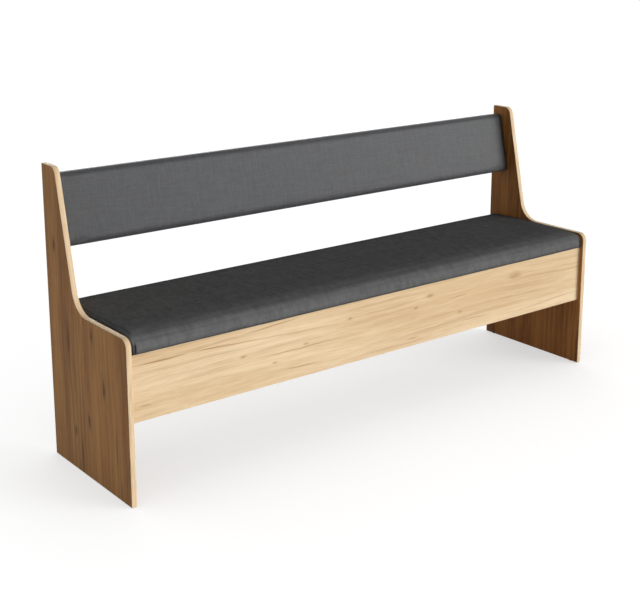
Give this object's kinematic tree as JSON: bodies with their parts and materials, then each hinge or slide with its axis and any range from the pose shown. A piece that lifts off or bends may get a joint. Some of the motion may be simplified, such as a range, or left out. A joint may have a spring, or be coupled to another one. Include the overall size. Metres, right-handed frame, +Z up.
{
  "type": "storage bench",
  "caption": "Straight storage bench: padded lift-up seat over a divided chest, padded leaning backrest between two shaped board side panels.",
  "frame": {"origin": "on the floor, under the middle of the bench's length and depth", "axes": "+X along the length towards the right side panel seen from the front, +Y to the back of the bench, +Z up"},
  "size_m": [1.8, 0.445, 0.866],
  "materials": {
    "decor_board": "golden oak decor paper with a satin melamine surface",
    "edge_band": "oak print, light",
    "raw_board": "raw particle board",
    "fibreboard": "hard fibreboard, smooth",
    "beech": "fluted beech",
    "upholstery": "anthracite woven fabric",
    "foam": "polyurethane foam",
    "lining": "black nonwoven lining",
    "felt": "brown felt",
    "zinc_steel": "zinc plated",
    "staple_steel": "galvanised wire",
    "die_cast_zinc": "die cast",
    "cap_plastic": "oak coloured",
    "glide_plastic": "dark brown"
  },
  "bodies": {
    "carcass": {"left_side_panel": "decor_board", "right_side_panel": "decor_board", "left_profile_edge_band": "edge_band", "right_profile_edge_band": "edge_band", "left_rear_edge_band": "edge_band", "right_rear_edge_band": "edge_band", "floor_glides": "glide_plastic", "front_panel": "decor_board", "front_panel_edge_bands": "edge_band", "rear_panel": "decor_board", "rear_panel_edge_bands": "edge_band", "centre_divider": "decor_board", "divider_edge_band": "edge_band", "storage_floor": "fibreboard", "floor_screws": "zinc_steel", "cam_bolts": "zinc_steel", "cam_discs": "die_cast_zinc", "cam_cover_caps": "cap_plastic", "wood_dowels": "beech", "lid_bumpers": "felt", "hinge_fixed_leaves": "zinc_steel", "hinge_pins": "zinc_steel", "hinge_panel_screws": "zinc_steel", "backrest_board": "raw_board", "backrest_foam": "foam", "backrest_cover": "upholstery", "backrest_lining": "lining", "backrest_staples": "staple_steel", "backrest_brackets": "zinc_steel", "bracket_screws": "zinc_steel"},
    "seat": {"seat_board": "raw_board", "seat_foam": "foam", "seat_cover": "upholstery", "seat_lining": "lining", "seat_staples": "staple_steel", "hinge_moving_leaves": "zinc_steel", "hinge_lid_screws": "zinc_steel"}
  },
  "joints": [
    {"name": "seat_hinge", "type": "hinge", "parent": "carcass", "child": "seat", "pos_m": [0, 0.0908, 0.4187], "axis": [-1, 0, 0], "range_deg": [0, 87.5]}
  ]
}
